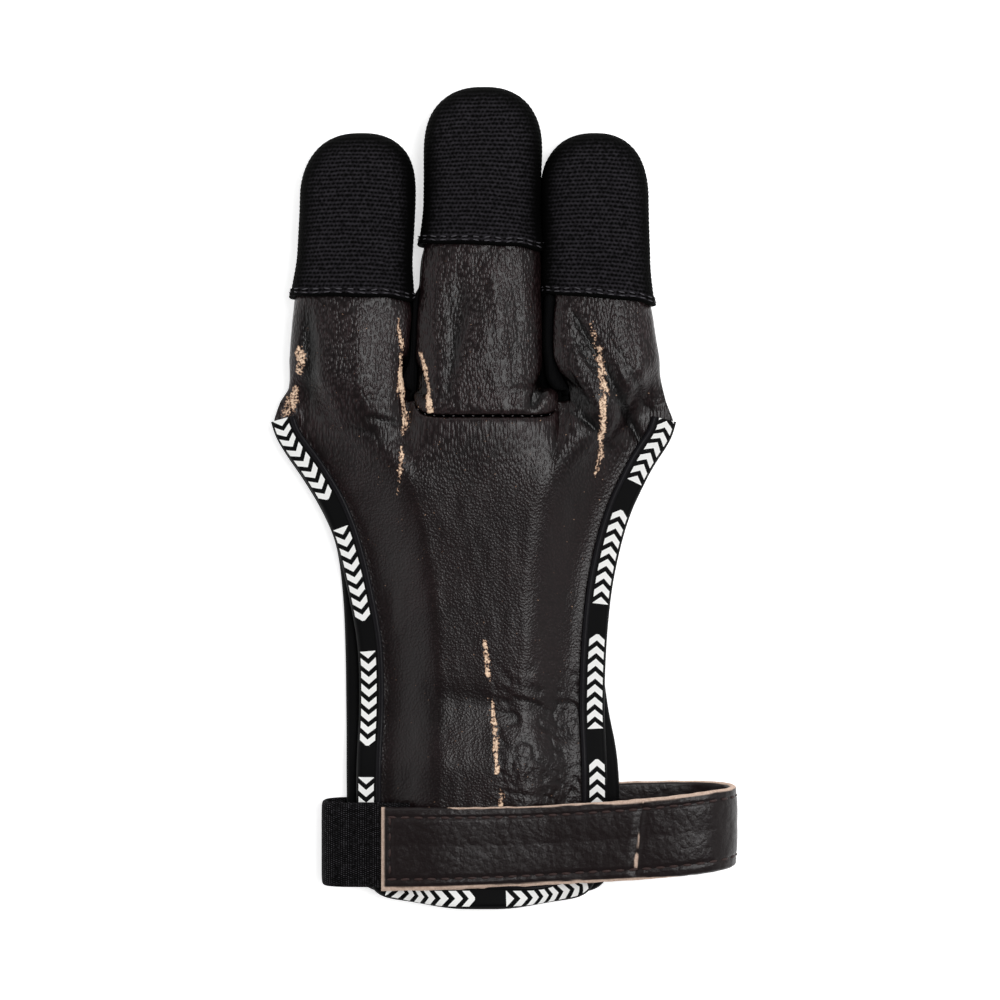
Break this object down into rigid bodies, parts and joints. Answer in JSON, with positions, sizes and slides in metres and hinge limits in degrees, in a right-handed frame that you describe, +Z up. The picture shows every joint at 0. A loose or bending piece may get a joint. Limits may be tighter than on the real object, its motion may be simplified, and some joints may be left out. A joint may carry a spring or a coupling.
{
  "type": "archery glove",
  "caption": "Finger shooting glove: leather palm side, stretch back, woven fingertip caps, bound edges and a wrist strap with elastic, lying flat and empty.",
  "frame": {"origin": "on the table, under the middle of the glove's bounding box", "axes": "+Y from the wrist to the fingertips, +X towards the strap's slack loop, +Z up out of the leather side"},
  "size_m": [0.1244, 0.2188, 0.0195],
  "materials": {
    "glove_leather": "soft pebbled nappa in near black brown, satin, scuffed to tan along a few lines",
    "stretch_fabric": "black fine stretch knit, matt",
    "woven_nylon": "black coarse plain weave nylon, matt",
    "printed_binding": "black folded tape with a plain white geometric print",
    "plain_binding": "black folded tape",
    "strap_leather": "smooth dark leather with raw tan cut edges and dark red stitching",
    "elastic_webbing": "black ribbed elastic webbing",
    "hook_and_loop": "black hook-and-loop pile"
  },
  "bodies": {
    "root": {"leather_front": "glove_leather", "middle_finger_leather": "glove_leather", "stretch_back": "stretch_fabric", "cap_left": "woven_nylon", "cap_middle": "woven_nylon", "cap_right": "woven_nylon", "binding_front": "printed_binding", "binding_back": "plain_binding", "wrist_strap": "strap_leather", "strap_elastic": "elastic_webbing", "strap_closure": "hook_and_loop"}
  },
  "joints": []
}
